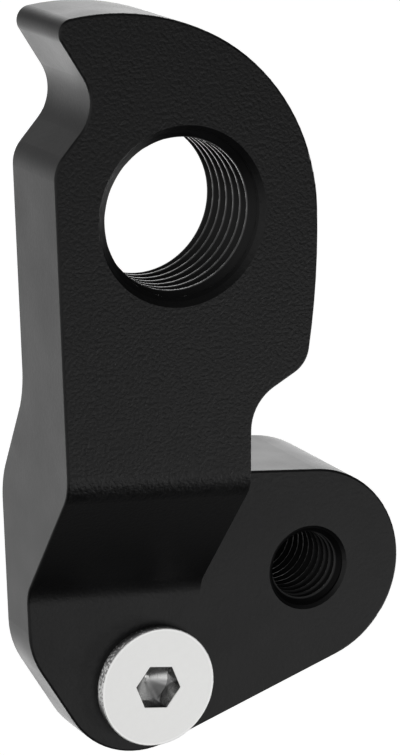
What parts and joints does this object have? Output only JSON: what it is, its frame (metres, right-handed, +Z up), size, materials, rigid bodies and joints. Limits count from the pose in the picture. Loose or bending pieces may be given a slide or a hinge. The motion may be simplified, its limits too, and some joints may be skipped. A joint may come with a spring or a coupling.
{
  "type": "derailleur hanger",
  "caption": "Black machined bicycle derailleur hanger, stepped back through its neck to a lower pad with a threaded lobe and a countersunk fixing screw.",
  "frame": {"origin": "centre of the derailleur hole on the plate's front face", "axes": "+X to the right in the front view, +Y through the plate towards the bicycle's frame, +Z up along the plate towards its stop hook"},
  "size_m": [0.0251, 0.016, 0.0469],
  "materials": {
    "black_anodised": "black anodised, matte",
    "screw_steel": "turned and plated, satin"
  },
  "bodies": {
    "root": {"hanger_body": "black_anodised", "fixing_screw": "screw_steel"}
  },
  "joints": []
}
